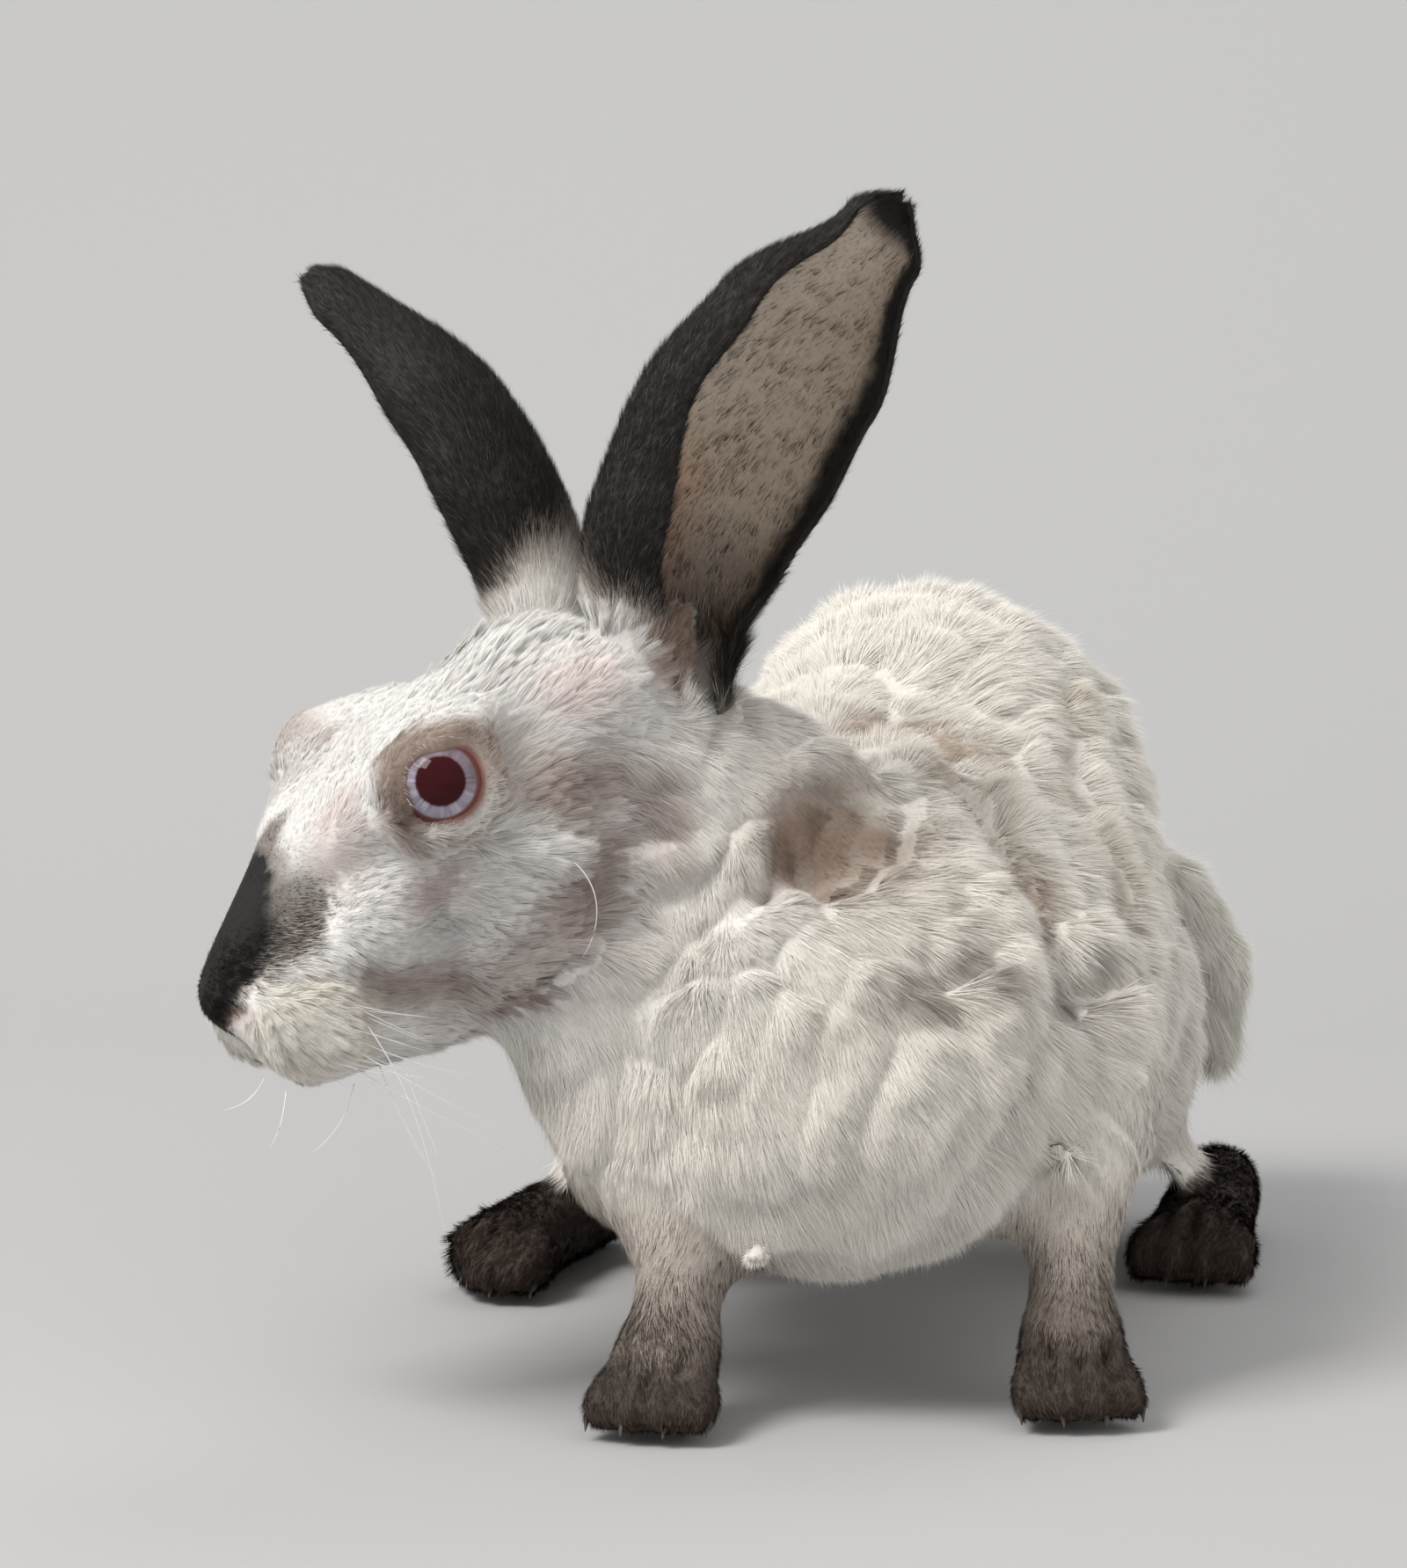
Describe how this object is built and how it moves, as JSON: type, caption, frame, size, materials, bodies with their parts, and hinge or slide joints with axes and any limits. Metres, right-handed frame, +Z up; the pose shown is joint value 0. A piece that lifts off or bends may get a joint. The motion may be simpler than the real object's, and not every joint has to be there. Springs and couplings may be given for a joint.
{
  "type": "domestic rabbit",
  "caption": "Standing white domestic rabbit with dark ears, nose and feet, upright ears, its head turned to its right side.",
  "frame": {"origin": "the middle of the object's box, at the height of the soles", "axes": "+X towards the animal's left side, +Y from its chest towards its rump, +Z up"},
  "size_m": [0.2334, 0.27, 0.2443],
  "materials": {
    "white_coat": "short soft fur",
    "dark_coat": "short soft fur",
    "eye": "wet gloss"
  },
  "bodies": {
    "root": {"head": "white_coat", "neck": "white_coat", "chest": "white_coat", "rump": "white_coat", "tail": "white_coat", "ear_left": "dark_coat", "ear_right": "dark_coat", "eye_left": "eye", "eye_right": "eye", "foreleg_left": "white_coat", "foreleg_right": "white_coat", "forepaw_left": "dark_coat", "forepaw_right": "dark_coat", "thigh_left": "white_coat", "thigh_right": "white_coat", "hindfoot_left": "dark_coat", "hindfoot_right": "dark_coat"}
  },
  "joints": []
}
